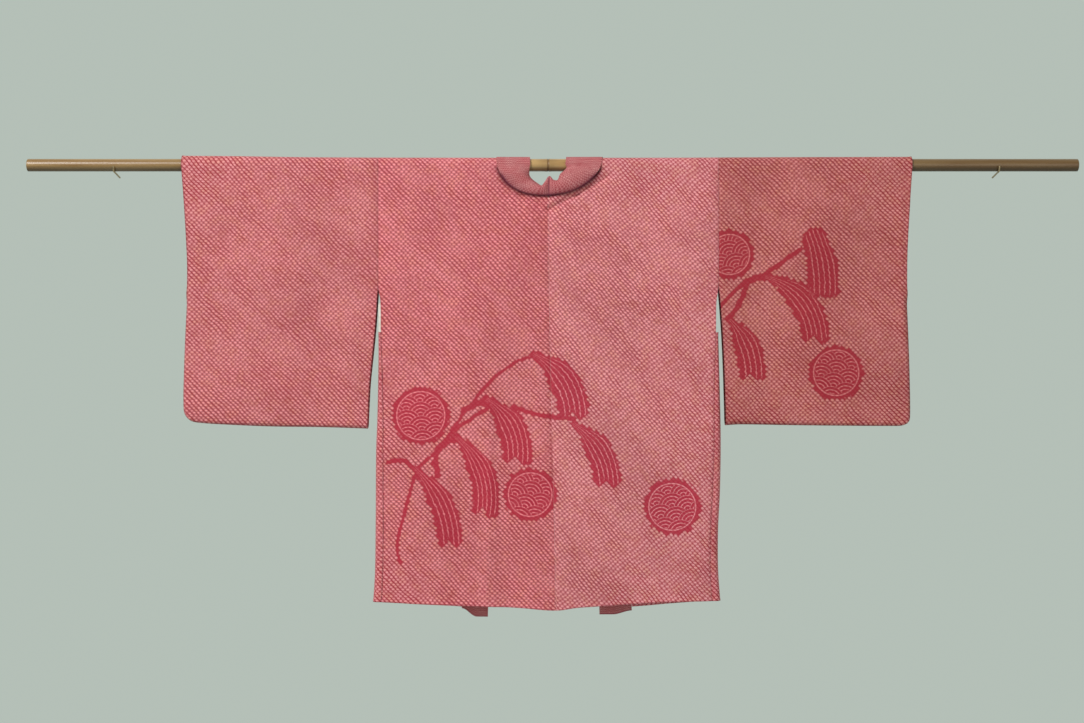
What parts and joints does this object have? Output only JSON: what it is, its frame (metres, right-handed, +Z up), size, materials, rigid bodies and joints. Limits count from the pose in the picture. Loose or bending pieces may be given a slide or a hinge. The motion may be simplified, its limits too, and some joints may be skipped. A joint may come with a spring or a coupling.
{
  "type": "haori kimono jacket hung on a bamboo rod with two wall hooks",
  "caption": "Tie-dyed haori hung flat by its sleeves on a bamboo rod that lies on wall hooks, with open fronts, long collar band and square sleeves.",
  "frame": {"origin": "on the rod's axis, at the middle of the garment, where the rod on its wall hooks carries it", "axes": "+X along the rod, to the right as the garment's back is seen; +Z up; the garment's back faces -Y and the wall is on the +Y side"},
  "size_m": [1.872, 0.0619, 0.822],
  "materials": {
    "shibori_cloth": "dimpled silk, crimson ground with pinkish white tie-dyed dots",
    "collar_cloth": "the same dimpled silk, gathered into fine ribs round the neck",
    "white_lining": "plain smooth silk",
    "bamboo": "smooth golden bamboo with a soft shine",
    "hook_steel": "bright bent wire"
  },
  "bodies": {
    "root": {"body_left": "shibori_cloth", "body_right": "shibori_cloth", "sleeve_left": "shibori_cloth", "sleeve_right": "shibori_cloth", "gusset_left": "shibori_cloth", "gusset_right": "shibori_cloth", "collar": "collar_cloth", "lining_left": "white_lining", "rod": "bamboo", "hook_left": "hook_steel", "hook_right": "hook_steel"}
  },
  "joints": []
}
